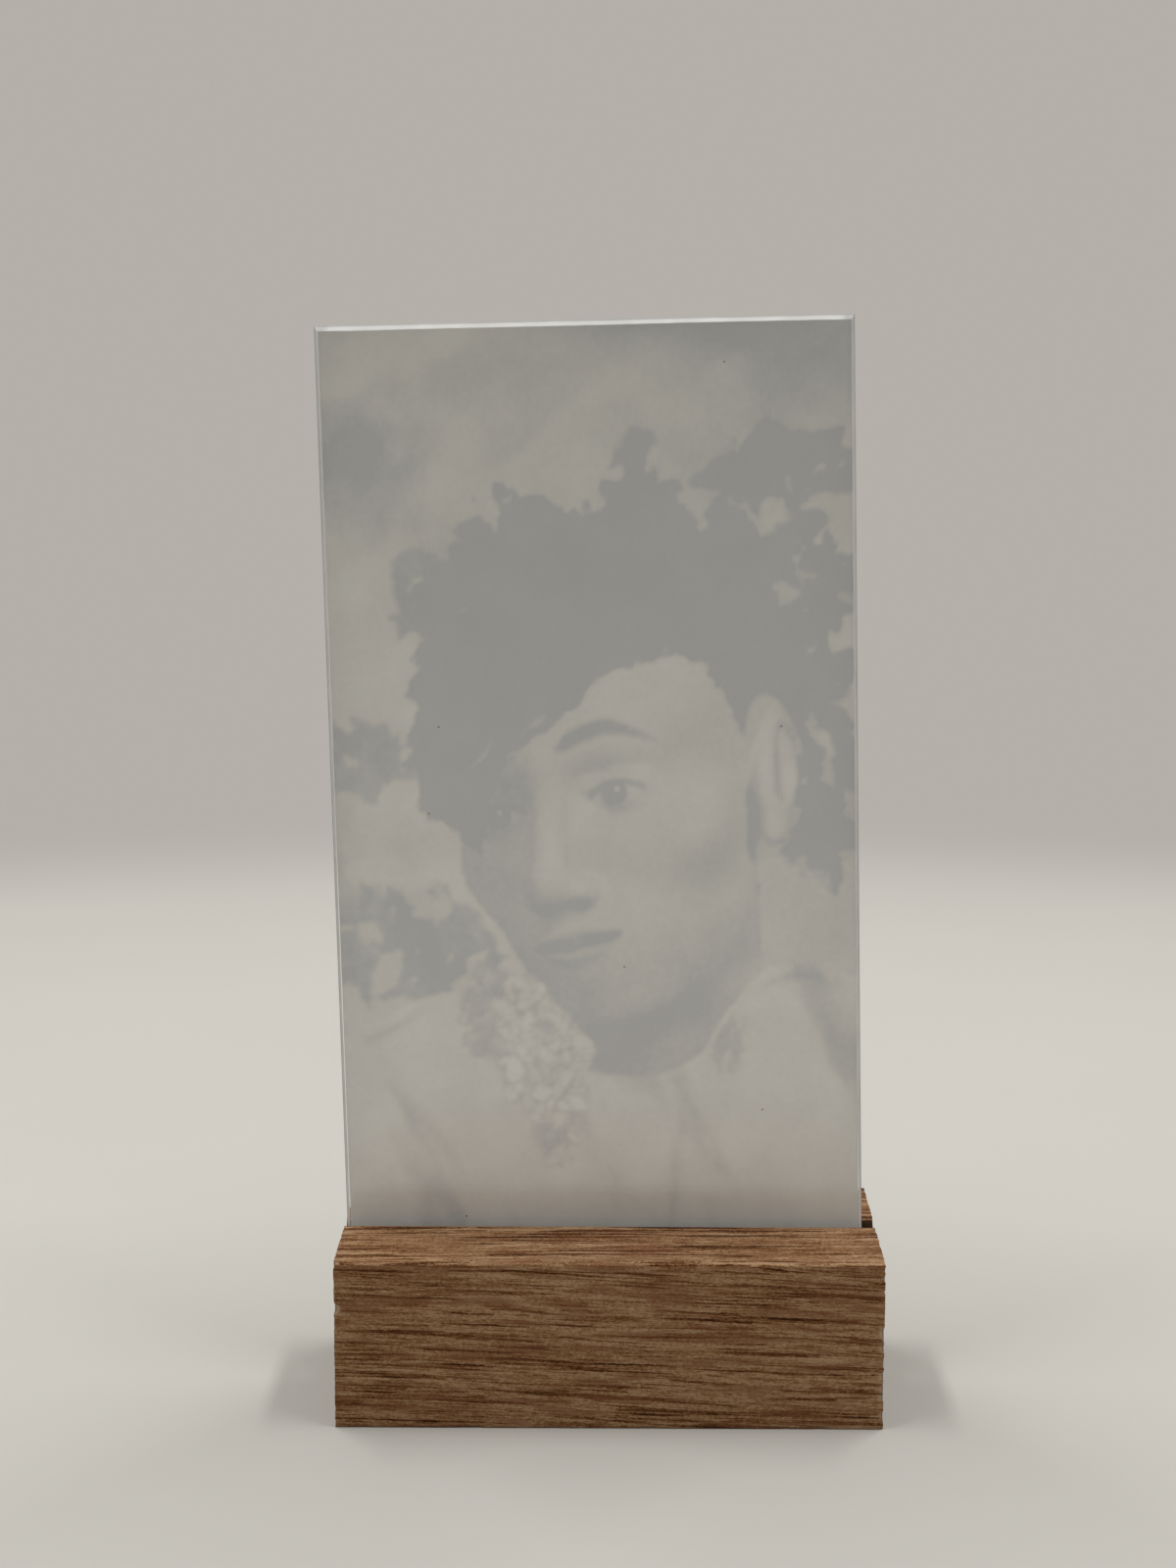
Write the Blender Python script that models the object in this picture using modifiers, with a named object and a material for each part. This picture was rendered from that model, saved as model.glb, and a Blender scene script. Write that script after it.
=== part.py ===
"""Glass photo plaque standing in the groove of a solid oak base.

Metres, +Z up. The base rests on Z = 0 with its underside centred on the origin, and the picture faces -Y.
"""

import math

import bmesh
import bpy

MM = 0.001

# Glass plate. The arris is the ground 45 degree chamfer, measured along each face it cuts.
GLASS_WIDTH = 100.0 * MM
GLASS_HEIGHT = 190.0 * MM
GLASS_THICKNESS = 4.0 * MM
GLASS_ARRIS = 0.7 * MM

# Layers bonded to the back of the glass: the picture, then its opaque cover.
PHOTO_THICKNESS = 0.1 * MM
COVER_THICKNESS = 0.1 * MM
BOND_LINE = 0.05 * MM
LAYER_INSET = 0.2 * MM

# Oak base. The rails are the wood in front of the groove and behind it.
FRONT_RAIL = 22.2 * MM
REAR_RAIL = 21.5 * MM
END_MARGIN = 1.6 * MM
GROOVE_DEPTH = 17.5 * MM
WOOD_UNDER_GROOVE = 14.8 * MM
EDGE_EASE = 0.4 * MM
EDGE_EASE_SEGMENTS = 2
CUTTER_OVERRUN = 4.0 * MM

# How the plate stands in the groove: on one lower corner, a little off level and off centre.
GROOVE_PLAY = 0.15 * MM
SEAT_GAP = 0.3 * MM
PLATE_TILT = math.radians(1.3)
PLATE_SHIFT = -0.65 * MM

# Sizes that follow from the ones above.
STACK_THICKNESS = GLASS_THICKNESS + BOND_LINE + PHOTO_THICKNESS + BOND_LINE + COVER_THICKNESS
GROOVE_WIDTH = STACK_THICKNESS + 2 * GROOVE_PLAY
BASE_LENGTH = GLASS_WIDTH + 2 * END_MARGIN
BASE_DEPTH = FRONT_RAIL + GROOVE_WIDTH + REAR_RAIL
BASE_HEIGHT = WOOD_UNDER_GROOVE + GROOVE_DEPTH
LAYER_WIDTH = GLASS_WIDTH - 2 * (GLASS_ARRIS + LAYER_INSET)
LAYER_HEIGHT = GLASS_HEIGHT - 2 * (GLASS_ARRIS + LAYER_INSET)

# Depths from the front of the base to each layer's front face.
GROOVE_FRONT_Y = FRONT_RAIL - BASE_DEPTH / 2
GLASS_FRONT_Y = GROOVE_FRONT_Y + GROOVE_PLAY
PHOTO_FROM_GLASS_FRONT = GLASS_THICKNESS + BOND_LINE
COVER_FROM_GLASS_FRONT = PHOTO_FROM_GLASS_FRONT + PHOTO_THICKNESS + BOND_LINE


def clear_scene():
    for obj in list(bpy.data.objects):
        bpy.data.objects.remove(obj, do_unlink=True)


def new_collection(name):
    collection = bpy.data.collections.new(name)
    bpy.context.scene.collection.children.link(collection)
    return collection


def surface(name, colour, roughness, transmission=0.0):
    material = bpy.data.materials.new(name)
    material.use_nodes = True
    shader = material.node_tree.nodes["Principled BSDF"]
    shader.inputs["Base Color"].default_value = (*colour, 1.0)
    shader.inputs["Roughness"].default_value = roughness
    shader.inputs["Metallic"].default_value = 0.0
    shader.inputs["Transmission Weight"].default_value = transmission
    return material


def block_mesh(name, size):
    """A box centred on its object's origin, with the given lengths along X, Y and Z."""
    mesh = bpy.data.meshes.new(name)
    shape = bmesh.new()
    bmesh.ops.create_cube(shape, size=1.0)
    bmesh.ops.scale(shape, vec=size, verts=shape.verts)
    shape.to_mesh(mesh)
    shape.free()
    return mesh


def add_block(name, size, location, collection, material=None, parent=None):
    obj = bpy.data.objects.new(name, block_mesh(name, size))
    obj.location = location
    obj.parent = parent
    if material:
        obj.data.materials.append(material)
    collection.objects.link(obj)
    return obj


def weigh_face_borders(mesh):
    """Marks the edges round the front and back faces, so that a Bevel grinds only those."""
    shape = bmesh.new()
    shape.from_mesh(mesh)
    weight = shape.edges.layers.float.new("bevel_weight_edge")
    for edge in shape.edges:
        first, second = edge.verts
        if math.isclose(first.co.y, second.co.y):
            edge[weight] = 1.0
    shape.to_mesh(mesh)
    shape.free()


def make_base(parts, cutters):
    """The oak block: edges eased by hand, then one straight groove sawn from end to end."""
    base = add_block(
        "oak_base",
        (BASE_LENGTH, BASE_DEPTH, BASE_HEIGHT),
        (0.0, 0.0, BASE_HEIGHT / 2),
        parts,
        surface("oak", (0.19, 0.10, 0.053), 0.6),
    )
    ease = base.modifiers.new("eased_edges", "BEVEL")
    ease.width = EDGE_EASE
    ease.segments = EDGE_EASE_SEGMENTS

    groove = add_block(
        "groove_cutter",
        (BASE_LENGTH + 2 * CUTTER_OVERRUN, GROOVE_WIDTH, GROOVE_DEPTH + CUTTER_OVERRUN),
        (
            0.0,
            GROOVE_FRONT_Y + GROOVE_WIDTH / 2,
            WOOD_UNDER_GROOVE + (GROOVE_DEPTH + CUTTER_OVERRUN) / 2,
        ),
        cutters,
    )
    groove.hide_render = True
    groove.display_type = "WIRE"
    cut = base.modifiers.new("groove", "BOOLEAN")
    cut.operation = "DIFFERENCE"
    cut.solver = "EXACT"
    cut.object = groove


def make_plate_seat(parts):
    """An empty at the middle of the glass's lower front edge. The plate lifts along Z from here."""
    seat = bpy.data.objects.new("plate_seat", None)
    raised_by_tilt = GLASS_WIDTH / 2 * abs(math.sin(PLATE_TILT))
    seat.location = (
        PLATE_SHIFT,
        GLASS_FRONT_Y,
        WOOD_UNDER_GROOVE + SEAT_GAP + raised_by_tilt,
    )
    seat.rotation_euler = (0.0, -PLATE_TILT, 0.0)
    parts.objects.link(seat)
    return seat


def make_glass(parts, seat):
    glass = add_block(
        "glass_plate",
        (GLASS_WIDTH, GLASS_THICKNESS, GLASS_HEIGHT),
        (0.0, GLASS_THICKNESS / 2, GLASS_HEIGHT / 2),
        parts,
        surface("clear_glass", (0.93, 0.97, 0.95), 0.05, transmission=1.0),
        seat,
    )
    weigh_face_borders(glass.data)
    arris = glass.modifiers.new("ground_arris", "BEVEL")
    arris.width = GLASS_ARRIS
    arris.segments = 1
    arris.limit_method = "WEIGHT"


def make_layer(name, from_glass_front, thickness, material, parts, seat):
    """One thin sheet on the back of the glass, inside its ground border."""
    add_block(
        name,
        (LAYER_WIDTH, thickness, LAYER_HEIGHT),
        (0.0, from_glass_front + thickness / 2, GLASS_HEIGHT / 2),
        parts,
        material,
        seat,
    )


def main():
    clear_scene()
    parts = new_collection("glass_photo_plaque")
    cutters = new_collection("cutters")
    make_base(parts, cutters)
    seat = make_plate_seat(parts)
    make_glass(parts, seat)
    picture = surface("picture_print", (0.52, 0.51, 0.47), 0.5)
    cover = surface("back_cover", (0.40, 0.40, 0.39), 0.6)
    make_layer("photo_film", PHOTO_FROM_GLASS_FRONT, PHOTO_THICKNESS, picture, parts, seat)
    make_layer("back_film", COVER_FROM_GLASS_FRONT, COVER_THICKNESS, cover, parts, seat)


main()
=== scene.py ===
"""Looks of the glass photo plaque: sawn oak block, ground glass plate, printed picture and its cover.

Metres in the frame's own axes: +Z up, the picture faces -Y. Lengths in the shaders are millimetres.
"""

from math import cos, exp, hypot, pi, radians, sin, sqrt

import bmesh
import bpy
import numpy as np
from mathutils import Matrix, Vector, geometry, noise


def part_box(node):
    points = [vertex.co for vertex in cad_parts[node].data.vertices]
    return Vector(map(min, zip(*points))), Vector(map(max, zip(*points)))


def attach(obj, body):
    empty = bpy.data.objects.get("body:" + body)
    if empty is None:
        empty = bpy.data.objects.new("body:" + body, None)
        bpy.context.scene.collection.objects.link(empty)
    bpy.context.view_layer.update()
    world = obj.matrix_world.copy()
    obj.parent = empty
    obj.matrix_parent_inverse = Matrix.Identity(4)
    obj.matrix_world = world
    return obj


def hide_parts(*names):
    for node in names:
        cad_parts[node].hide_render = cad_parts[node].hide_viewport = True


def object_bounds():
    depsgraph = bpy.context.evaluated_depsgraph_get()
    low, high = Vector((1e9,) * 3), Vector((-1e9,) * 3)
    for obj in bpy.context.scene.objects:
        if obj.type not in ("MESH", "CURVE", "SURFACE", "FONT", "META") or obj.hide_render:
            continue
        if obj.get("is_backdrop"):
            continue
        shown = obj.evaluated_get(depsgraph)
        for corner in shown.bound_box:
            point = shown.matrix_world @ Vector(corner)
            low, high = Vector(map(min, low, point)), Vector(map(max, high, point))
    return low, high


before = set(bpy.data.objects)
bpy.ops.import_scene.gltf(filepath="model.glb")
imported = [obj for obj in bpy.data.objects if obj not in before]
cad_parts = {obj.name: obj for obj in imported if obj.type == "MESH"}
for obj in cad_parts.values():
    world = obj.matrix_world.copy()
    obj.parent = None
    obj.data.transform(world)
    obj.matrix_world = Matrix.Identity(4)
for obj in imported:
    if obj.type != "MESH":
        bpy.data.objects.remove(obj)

CAD_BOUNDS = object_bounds()
MM = 0.001

# The plate's own size, its lean and its play in the groove, as in the solids.
PLATE_WIDTH = 100.0 * MM
PLATE_HEIGHT = 190.0 * MM
PLATE_TILT = radians(1.3)
PLATE_SHIFT = -0.65 * MM
GROOVE_PLAY = 0.15 * MM
SEAT_GAP = 0.3 * MM

# The ground border of the glass: its depth, its width along the top, where it bends, and how much painted
# shade it has at the bend; how much of that width the sides have, and how much painted shade greys them.
# The border at the back is smaller.
ARRIS_DEPTH = 0.7 * MM
ARRIS_FACE = 1.0 * MM
ARRIS_BEND = 0.42
BEND_RIM_SHADE = 0.3
SIDE_SHARE = 0.62
SIDE_RIM_SHADE = 0.55
BACK_ARRIS = 0.35 * MM

# How far the picture and its cover keep from the plate's border.
PICTURE_INSET = 0.45 * MM
COVER_INSET = 0.9 * MM

# Places read from the frame.
BASE_LOW, BASE_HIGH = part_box("oak_base")
GLASS_LOW, GLASS_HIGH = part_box("glass_plate")
PHOTO_LOW, PHOTO_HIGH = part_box("photo_film")
COVER_LOW, COVER_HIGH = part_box("back_film")
GROOVE_FRONT = GLASS_LOW.y - GROOVE_PLAY
GROOVE_BACK = COVER_HIGH.y + GROOVE_PLAY
GROOVE_FLOOR = GLASS_LOW.z - SEAT_GAP
PLATE_FOOT = Vector((PLATE_SHIFT, 0.0, GLASS_LOW.z + PLATE_WIDTH / 2 * sin(PLATE_TILT)))
PLATE_PLACE = Matrix.Translation(PLATE_FOOT) @ Matrix.Rotation(-PLATE_TILT, 4, "Y")

# Camera: where it stands, how far it looks down and aside, and its lens for a 36 mm long side.
CAMERA_PLACE = Vector((1.86, -526.5, 204.3)) * MM
CAMERA_DOWN = radians(9.19)
CAMERA_LEFT = radians(0.66)
CAMERA_LENS = 64.42

# Colours as linear light.
OAK_PALE = (0.385, 0.246, 0.138)
OAK_TAN = (0.236, 0.119, 0.049)
OAK_BROWN = (0.142, 0.057, 0.018)
OAK_DARK = (0.038, 0.010, 0.001)
OAK_RED = (0.165, 0.062, 0.025)
OAK_TORN = (0.430, 0.330, 0.220)
END_PALE = (0.250, 0.135, 0.062)
END_BROWN = (0.150, 0.068, 0.027)
PRINT_DARK = (0.574, 0.578, 0.574)
PRINT_MIDDLE = (0.660, 0.653, 0.629)
PRINT_LIGHT = (0.743, 0.727, 0.678)
PRINT_PALE = (0.870, 0.860, 0.812)
COVER_GREY = (0.36, 0.36, 0.35)
SCUFF_GREY = (0.5, 0.5, 0.48)
CLEAR = (1.0, 1.0, 1.0)
GROUND_GREY = (0.86, 0.86, 0.83)
GROUND_WHITE = (0.98, 0.98, 0.95)
THROUGH_POLISHED = (0.95, 0.948, 0.942)
THROUGH_GROUND = (0.80, 0.80, 0.79)
DOME_COLOUR = (1.0, 0.985, 0.96)
BACKDROP_COLOUR = (0.459, 0.431, 0.399)
FLOOR_COLOUR = (0.582, 0.565, 0.523)
WALL_COLOUR = (0.535, 0.516, 0.487)
DUST_COLOUR = (0.16, 0.12, 0.09)

# Oak: how pale it is before its streaks, and how little it shines.
OAK_LEVEL = 0.76
OAK_SHINE = 0.12

# End grain, in mm: where the tree's middle lay, how far out the rays are measured, and the width of a ring.
PITH_Y, PITH_Z = 14.0, -46.0
PITH_SCALE = 60.0
RING_WIDTH = 2.6

# Dust behind the glass: how far apart its specks lie in mm, and their radius as a share of that.
DUST_SPACING = 52.0
DUST_SIZE = 0.005

# Painted light: how much lighter the print is painted at its foot and darker at its head, and at which heights
# in mm.
FOOT_LIGHT = 1.12
HEAD_LIGHT = 0.925
LIGHT_HEIGHTS = (10.0, 190.0)

# Glass: how it bends light, and how far painted shade dims its ground border on its outer edge.
GLASS_IOR = 1.5
RIM_LIGHT = 0.47


# Shaders


class Shader:
    """The nodes of a material or of the world, added one call at a time."""

    def __init__(self, owner, surface, output):
        owner.use_nodes = True
        self.tree = owner.node_tree
        self.surface = self.tree.nodes[surface]
        self.output = self.tree.nodes[output]

    def link(self, value, socket):
        """Feeds a socket from another node's output, or sets it to a constant."""
        if isinstance(value, bpy.types.NodeSocket):
            self.tree.links.new(value, socket)
        elif socket.type == "RGBA":
            socket.default_value = (*value, 1.0)
        else:
            socket.default_value = value

    def node(self, kind, feeds=None, **settings):
        """A new node with its settings, its inputs fed by their names or numbers."""
        made = self.tree.nodes.new(kind)
        for name, value in settings.items():
            setattr(made, name, value)
        for name, value in (feeds or {}).items():
            self.link(value, made.inputs[name])
        return made

    def set(self, name, value):
        self.link(value, self.surface.inputs[name])

    def position(self):
        """The point on the piece, in millimetres."""
        place = self.node("ShaderNodeTexCoord").outputs["Object"]
        return self.moved(place, (1 / MM, 1 / MM, 1 / MM))

    def moved(self, vector, scale=(1.0, 1.0, 1.0), turn=(0.0, 0.0, 0.0), shift=(0.0, 0.0, 0.0)):
        feeds = {"Vector": vector, "Scale": scale, "Rotation": turn, "Location": shift}
        return self.node("ShaderNodeMapping", feeds).outputs["Vector"]

    def axes(self, vector):
        """A vector's parts, by the names X, Y and Z."""
        return self.node("ShaderNodeSeparateXYZ", {0: vector}).outputs

    def noise(self, vector, size, detail=2.0, rough=0.5, shift=(0.0, 0.0, 0.0)):
        """Soft noise from 0 to 1 whose grains are about `size` long, on all axes or on each."""
        sizes = size if isinstance(size, tuple) else (size, size, size)
        grains = self.moved(vector, tuple(1.0 / x for x in sizes), shift=shift)
        feeds = {"Vector": grains, "Scale": 1.0, "Detail": detail, "Roughness": rough}
        return self.node("ShaderNodeTexNoise", feeds).outputs["Fac"]

    def step(self, value, low, high, to_low=0.0, to_high=1.0):
        """A smooth step between two values."""
        feeds = {"Value": value, "From Min": low, "From Max": high, "To Min": to_low, "To Max": to_high}
        return self.node("ShaderNodeMapRange", feeds, interpolation_type="SMOOTHSTEP").outputs["Result"]

    def maths(self, operation, first, second):
        return self.node("ShaderNodeMath", {0: first, 1: second}, operation=operation).outputs[0]

    def mix(self, share, first, second):
        """A share of the second colour over the first. The node's colours are inputs 6 and 7 and output 2."""
        return self.node("ShaderNodeMix", {0: share, 6: first, 7: second}, data_type="RGBA").outputs[2]

    def ramp(self, value, stops):
        """A colour that runs smoothly through the given stops."""
        made = self.node("ShaderNodeValToRGB", {"Fac": value})
        marks = made.color_ramp.elements
        while len(marks) < len(stops):
            marks.new(0.5)
        for mark, (place, colour) in zip(marks, stops):
            mark.position = place
            mark.color = (*colour, 1.0)
        return made.outputs["Color"]

    def dimmed(self, colour, light):
        """A colour times a brightness."""
        feeds = {"Vector": colour, "Scale": light}
        return self.node("ShaderNodeVectorMath", feeds, operation="SCALE").outputs["Vector"]

    def attribute(self, name):
        """A number that the mesh carries at its points."""
        return self.node("ShaderNodeAttribute", attribute_name=name).outputs["Fac"]

    def lets_light_through(self, colour):
        """Passes lamps and bounced light on to what is behind the glass."""
        clear = self.node("ShaderNodeBsdfTransparent", {"Color": colour})
        ray = self.node("ShaderNodeLightPath").outputs
        lighting = self.maths("MAXIMUM", ray["Is Shadow Ray"], ray["Is Diffuse Ray"])
        self.blend(lighting, clear.outputs["BSDF"])

    def blend(self, share, other):
        """Gives a share of the surface to another shader."""
        blended = self.node("ShaderNodeMixShader", {0: share, 1: self.surface.outputs[0], 2: other})
        self.link(blended.outputs["Shader"], self.output.inputs["Surface"])


class Finish(Shader):
    """A material's nodes."""

    def __init__(self, name):
        self.material = bpy.data.materials.new(name)
        super().__init__(self.material, "Principled BSDF", "Material Output")

    def done(self, colour, rough, height, depth, strength):
        """Sets the colour, the roughness and a bump of that depth, and gives the material."""
        self.set("Base Color", colour)
        self.set("Roughness", rough)
        feeds = {"Height": height, "Distance": depth, "Strength": strength}
        self.set("Normal", self.node("ShaderNodeBump", feeds).outputs["Normal"])
        return self.material


def oak(name, length, width, slope, light, contrast):
    """Oak seen along the grain. `length` and `width` are those of its finest streaks, in mm; `light` scales
    its colour: painted light above 1, painted shade below.
    """
    wood = Finish(name)
    place = wood.moved(wood.position(), turn=(0.0, slope, 0.0))
    sway = wood.maths("MULTIPLY", wood.noise(place, (42.0, 12.0, 12.0), detail=1.0), 1.8)
    jitter = wood.maths("MULTIPLY", wood.noise(place, (1.4, 0.6, 0.6)), 0.5 * width)
    bend = wood.maths("ADD", sway, jitter)
    across = wood.node("ShaderNodeCombineXYZ", {"Y": bend, "Z": bend}).outputs["Vector"]
    grain = wood.node("ShaderNodeVectorMath", {0: place, 1: across}, operation="ADD").outputs["Vector"]

    def streaks(long, wide, shift=(0.0, 0.0, 0.0), detail=2.0):
        """Noise along the grain, in shares of the finest streaks' length and width."""
        size = (long * length, wide * width, wide * width)
        return wood.noise(grain, size, detail=detail, shift=shift)

    # Soft layers of noise, each with its weight.
    soft = (
        (wood.noise(grain, (60.0, 5.0, 5.0), shift=(2.0, 9.0, 5.0)), 0.30),
        (streaks(2.4, 2.6, (7.0, 3.0, 1.0), detail=0.0), 0.40),
        (streaks(0.4, 0.5, (5.0, 2.0, 7.0)), 0.75),
        (wood.noise(place, (0.5, 0.3, 0.3), rough=0.7), 1.2),
    )
    pale = OAK_LEVEL - 0.5 * contrast * sum(weight for _, weight in soft)
    for layer, weight in soft:
        pale = wood.maths("ADD", pale, wood.maths("MULTIPLY", layer, contrast * weight))
    # Pores: where each layer of noise starts to cut and is fully cut, and how dark it gets.
    pores = (
        (streaks(2.4, 1.3, detail=0.0), 0.59, 0.66, 0.38),
        (streaks(1.3, 0.8, (1.0, 6.0, 2.0), detail=0.0), 0.60, 0.68, 0.28),
        (streaks(0.6, 0.5, (9.0, 1.0, 4.0)), 0.55, 0.63, 0.18),
    )
    for layer, low, high, depth in pores:
        line = wood.maths("MULTIPLY", wood.step(layer, low, high), contrast * depth)
        pale = wood.maths("SUBTRACT", pale, line)

    ramp = wood.ramp(pale, ((0.0, OAK_DARK), (0.32, OAK_BROWN), (0.60, OAK_TAN), (1.0, OAK_PALE)))
    flush = wood.noise(grain, (12.0, 1.4, 1.4), shift=(3.0, 5.0, 5.0))
    colour = wood.mix(wood.step(flush, 0.48, 0.66, 0.0, 0.55), ramp, OAK_RED)
    # Painted light and shade: the colour is scaled by `light` before the torn fibres go on.
    colour = wood.mix(wood.attribute("torn"), wood.dimmed(colour, light), OAK_TORN)
    wood.set("Specular IOR Level", OAK_SHINE)
    rough = wood.step(pale, 0.1, 0.9, 0.76, 0.54)
    return wood.done(colour, rough, height=pale, depth=0.15 * MM, strength=0.5)


def end_oak():
    """Sawn end grain: growth rings with open pores, crossed by fine pale rays and by the saw's marks."""
    wood = Finish("oak_end_grain")
    place = wood.position()
    axes = wood.axes(place)
    aside = wood.maths("SUBTRACT", axes["Y"], PITH_Y)
    above = wood.maths("SUBTRACT", axes["Z"], PITH_Z)
    around = wood.maths("MULTIPLY", wood.maths("ARCTAN2", aside, above), PITH_SCALE)
    squares = wood.maths("ADD", wood.maths("POWER", aside, 2.0), wood.maths("POWER", above, 2.0))
    apart = wood.maths("POWER", squares, 0.5)
    wander = wood.maths("MULTIPLY", wood.noise(place, 8.0), 3.0)
    rings = wood.maths("DIVIDE", wood.maths("ADD", apart, wander), RING_WIDTH)
    ring = wood.maths("FRACT", rings, 0.0)

    colour = wood.mix(wood.step(ring, 0.05, 0.95), END_PALE, END_BROWN)
    early = wood.step(ring, 0.05, 0.55, 1.0, 0.0)
    wide = wood.step(wood.noise(place, 0.42, detail=1.0), 0.50, 0.60)
    fine = wood.step(wood.noise(place, 0.22, detail=1.0, shift=(3.0, 1.0, 2.0)), 0.54, 0.66)
    pore = wood.maths("MAXIMUM", wood.maths("MULTIPLY", wide, early), wood.maths("MULTIPLY", fine, 0.4))
    colour = wood.mix(wood.maths("MULTIPLY", pore, 0.75), colour, OAK_DARK)
    polar = wood.node("ShaderNodeCombineXYZ", {"X": around, "Y": apart}).outputs["Vector"]
    ray = wood.noise(polar, (0.5, 7.0, 1.0), shift=(3.0, 3.0, 3.0))
    colour = wood.mix(wood.step(ray, 0.58, 0.66, 0.0, 0.5), colour, OAK_PALE)
    colour = wood.mix(wood.attribute("torn"), colour, OAK_TORN)
    wood.set("Specular IOR Level", OAK_SHINE)
    rough = wood.step(pore, 0.0, 1.0, 0.68, 0.86)
    mark = wood.noise(place, (30.0, 0.9, 40.0), shift=(5.0, 0.0, 0.0))
    height = wood.maths("SUBTRACT", wood.maths("MULTIPLY", mark, 0.8), pore)
    return wood.done(colour, rough, height, depth=0.12 * MM, strength=0.6)


def polished_glass():
    """Clear float glass with faint smears, which lets light through to the picture."""
    glass = Finish("polished_glass")
    smear = glass.noise(glass.position(), (18.0, 18.0, 30.0), detail=3.0)
    glass.set("Transmission Weight", 1.0)
    glass.set("IOR", GLASS_IOR)
    glass.lets_light_through(THROUGH_POLISHED)
    rough = glass.step(smear, 0.35, 0.75, 0.02, 0.07)
    return glass.done(CLEAR, rough, height=smear, depth=0.01 * MM, strength=0.1)


def ground_glass():
    """The border where the wheel has ground the glass: matt and whitish, with painted shade that greys its
    outer edge.
    """
    glass = Finish("ground_glass")
    place = glass.position()
    grit = glass.noise(place, 0.25, detail=3.0, rough=0.7)
    band = glass.noise(place, (7.0, 2.0, 7.0), detail=3.0)
    colour = glass.mix(glass.step(band, 0.3, 0.7), GROUND_GREY, GROUND_WHITE)
    # Painted shade: the border is dimmed towards its outer edge, and more so on the sides.
    colour = glass.dimmed(colour, glass.step(glass.attribute("rim"), 0.1, 1.0, 1.0, RIM_LIGHT))
    glass.set("Transmission Weight", 0.2)
    glass.set("IOR", GLASS_IOR)
    glass.lets_light_through(THROUGH_GROUND)
    rough = glass.step(grit, 0.2, 0.8, 0.45, 0.7)
    return glass.done(colour, rough, height=grit, depth=0.05 * MM, strength=0.5)


def picture_print():
    """Two soft greys, parted by the picture's tone with a ragged edge."""
    paper = Finish("picture_print")
    place = paper.position()
    rag = paper.noise(place, 1.3, detail=2.0)
    haze = paper.noise(place, 12.0, detail=3.0)
    tone = paper.maths("ADD", paper.attribute("tone"), paper.step(rag, 0.25, 0.75, -0.03, 0.03))
    tone = paper.maths("ADD", tone, paper.step(haze, 0.25, 0.75, -0.04, 0.04))
    colour = paper.ramp(
        tone, ((0.29, PRINT_DARK), (0.44, PRINT_MIDDLE), (0.60, PRINT_LIGHT), (1.0, PRINT_PALE))
    )
    speck = paper.noise(place, 0.5)
    # Painted light: lighter towards the print's foot and darker towards its head.
    light = paper.step(paper.axes(place)["Z"], *LIGHT_HEIGHTS, FOOT_LIGHT, HEAD_LIGHT)
    light = paper.maths("MULTIPLY", light, paper.step(speck, 0.2, 0.8, 0.985, 1.015))
    light = paper.maths("MULTIPLY", light, paper.step(haze, 0.25, 0.75, 0.98, 1.02))
    flat = paper.moved(place, turn=(radians(90.0), 0.0, 0.0))
    feeds = {"Vector": flat, "Scale": 1.0 / DUST_SPACING}
    dust = paper.node("ShaderNodeTexVoronoi", feeds, voronoi_dimensions="2D")
    dust_share = paper.step(dust.outputs["Distance"], 0.5 * DUST_SIZE, DUST_SIZE, 0.8, 0.0)
    colour = paper.mix(dust_share, paper.dimmed(colour, light), DUST_COLOUR)
    rough = paper.step(speck, 0.2, 0.8, 0.5, 0.6)
    return paper.done(colour, rough, height=speck, depth=0.02 * MM, strength=0.1)


def back_cover():
    """Matt grey film with a fine pebble and a few faint scuffs."""
    film = Finish("back_cover")
    place = film.position()
    pebble = film.noise(place, 0.6, detail=3.0)
    cloud = film.noise(place, (25.0, 25.0, 40.0), detail=3.0)
    scuff = film.noise(film.moved(place, turn=(0.0, 0.5, 0.0)), (22.0, 5.0, 0.5), detail=3.0)
    colour = film.dimmed(COVER_GREY, film.step(cloud, 0.3, 0.7, 0.93, 1.06))
    colour = film.mix(film.step(scuff, 0.66, 0.78, 0.0, 0.3), colour, SCUFF_GREY)
    rough = film.step(pebble, 0.2, 0.8, 0.5, 0.68)
    return film.done(colour, rough, height=pebble, depth=0.05 * MM, strength=0.35)


# Pieces

SHARP_BEND = 32.0
GLASS_SHARP_BEND = 20.0


def added(name, data):
    """A new object in the scene."""
    made = bpy.data.objects.new(name, data)
    bpy.context.scene.collection.objects.link(made)
    return made


def meshed(name, shape, materials):
    """A smooth mesh made of a finished shape."""
    mesh = bpy.data.meshes.new(name)
    shape.to_mesh(mesh)
    shape.free()
    mesh.shade_smooth()
    for material in materials:
        mesh.materials.append(material)
    return mesh


def quarter(centre, radius, first, steps):
    """Points on a quarter round, clockwise from an angle in degrees."""
    turns = [radians(first - 90.0 * index / steps) for index in range(steps + 1)]
    return [Vector(centre) + radius * Vector((cos(turn), sin(turn))) for turn in turns]


def marked(shape, place, layer, value):
    """A new point of a shape, which carries a number for the shaders."""
    vert = shape.verts.new(place)
    vert[layer] = value
    return vert


def joined(shape, ring, following):
    """Quads that join two rings with the same number of points, once round."""
    quads = []
    for index in range(len(ring)):
        after = (index + 1) % len(ring)
        quads.append(shape.faces.new((ring[index], ring[after], following[after], following[index])))
    return quads


def piece(name, shape, materials, body, node, crease=SHARP_BEND):
    """Sets a finished shape in the frame in place of a node. Bends over `crease` degrees stay sharp."""
    bmesh.ops.recalc_face_normals(shape, faces=shape.faces)
    mesh = meshed(name, shape, materials)
    mesh.set_sharp_from_angle(angle=radians(crease))
    made = added(name, mesh)
    if body == "plate":
        made.matrix_world = PLATE_PLACE
    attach(made, body)
    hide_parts(node)


# Oak block

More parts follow.
